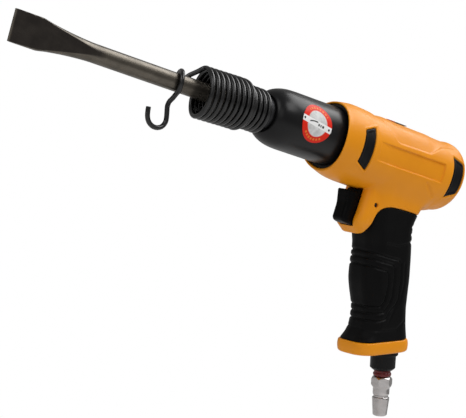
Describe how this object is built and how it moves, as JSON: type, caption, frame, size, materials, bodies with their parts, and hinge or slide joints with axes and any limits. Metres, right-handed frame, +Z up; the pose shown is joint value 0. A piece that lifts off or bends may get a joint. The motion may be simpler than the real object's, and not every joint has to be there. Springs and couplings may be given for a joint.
{
  "type": "pneumatic air hammer",
  "caption": "Pistol-grip pneumatic air hammer with a flat chisel held by a beehive retaining spring with a finger hook, and a quick-connect air plug.",
  "frame": {"origin": "centre of the housing's flat rear face, on the barrel axis", "axes": "+X along the barrel axis towards the rear, so the chisel points to -X; +Z up, away from the handle; +Y to the tool's right as the user holds it"},
  "size_m": [0.4065, 0.0528, 0.2165],
  "materials": {
    "yellow_shell": "satin moulded shell, warm yellow-orange",
    "black_rubber": "matt over-moulded rubber",
    "seal_rubber": "matt",
    "label": "printed film",
    "black_plastic": "satin",
    "turned_steel": "turned",
    "black_steel": "black oxide",
    "spring_steel": "black oxide spring wire",
    "forged_steel": "dark forged and ground",
    "sintered_metal": "sintered",
    "brass": "turned",
    "red_seal": "deep red ring",
    "nickel": "satin nickel plate"
  },
  "bodies": {
    "hammer_body": {"housing": "yellow_shell", "base_cap": "yellow_shell", "left_front_bumper": "black_rubber", "right_front_bumper": "black_rubber", "left_rear_bumper": "black_rubber", "right_rear_bumper": "black_rubber", "grip_sleeve": "black_rubber", "front_seal_ring": "seal_rubber", "rear_buffer": "seal_rubber", "throttle_seal": "seal_rubber", "inlet_seal": "seal_rubber", "top_label": "label", "barrel_label": "label", "barrel_sleeve": "black_plastic", "inlet_bushing": "black_plastic", "cylinder": "turned_steel", "valve_block": "turned_steel", "valve_cover": "turned_steel", "valve_dowel_pin": "turned_steel", "trigger_pin": "black_steel", "throttle_spring": "spring_steel", "throttle_bushing": "brass", "barrel_lock_screw": "black_steel", "base_screw_right": "black_steel", "base_screw_left": "black_steel", "muffler": "sintered_metal", "inlet_screen": "sintered_metal", "thread_seal_ring": "red_seal", "air_plug": "nickel"},
    "trigger": {"trigger": "black_plastic"},
    "throttle_valve": {"throttle_stem": "turned_steel", "throttle_ball": "turned_steel"},
    "piston": {"piston": "turned_steel"},
    "valve_disc": {"valve_disc": "turned_steel"},
    "chisel": {"chisel": "forged_steel"},
    "retainer": {"retainer_spring": "spring_steel"}
  },
  "joints": [
    {"name": "trigger_slide", "type": "slide", "parent": "hammer_body", "child": "trigger", "axis": [0.9668, 0, 0.2554], "range_m": [0, 0.005], "stiffness_N_per_m": 300, "springref_m": -0.008},
    {"name": "throttle_slide", "type": "slide", "parent": "hammer_body", "child": "throttle_valve", "axis": [0.9668, 0, 0.2554], "range_m": [0, 0.005], "deforming": ["throttle_spring"]},
    {"name": "piston_slide", "type": "slide", "parent": "hammer_body", "child": "piston", "axis": [-1, 0, 0], "range_m": [0, 0.066]},
    {"name": "valve_disc_slide", "type": "slide", "parent": "hammer_body", "child": "valve_disc", "axis": [1, 0, 0], "range_m": [0, 0.0014]},
    {"name": "chisel_slide", "type": "slide", "parent": "hammer_body", "child": "chisel", "axis": [-1, 0, 0], "range_m": [0, 0.024]},
    {"name": "retainer_turn", "type": "hinge", "parent": "hammer_body", "child": "retainer", "pos_m": [-0.2, 0, 0], "axis": [1, 0, 0], "continuous": true}
  ],
  "couplings": [
    {"joint": "throttle_slide", "follows": "trigger_slide", "ratio": 1}
  ]
}
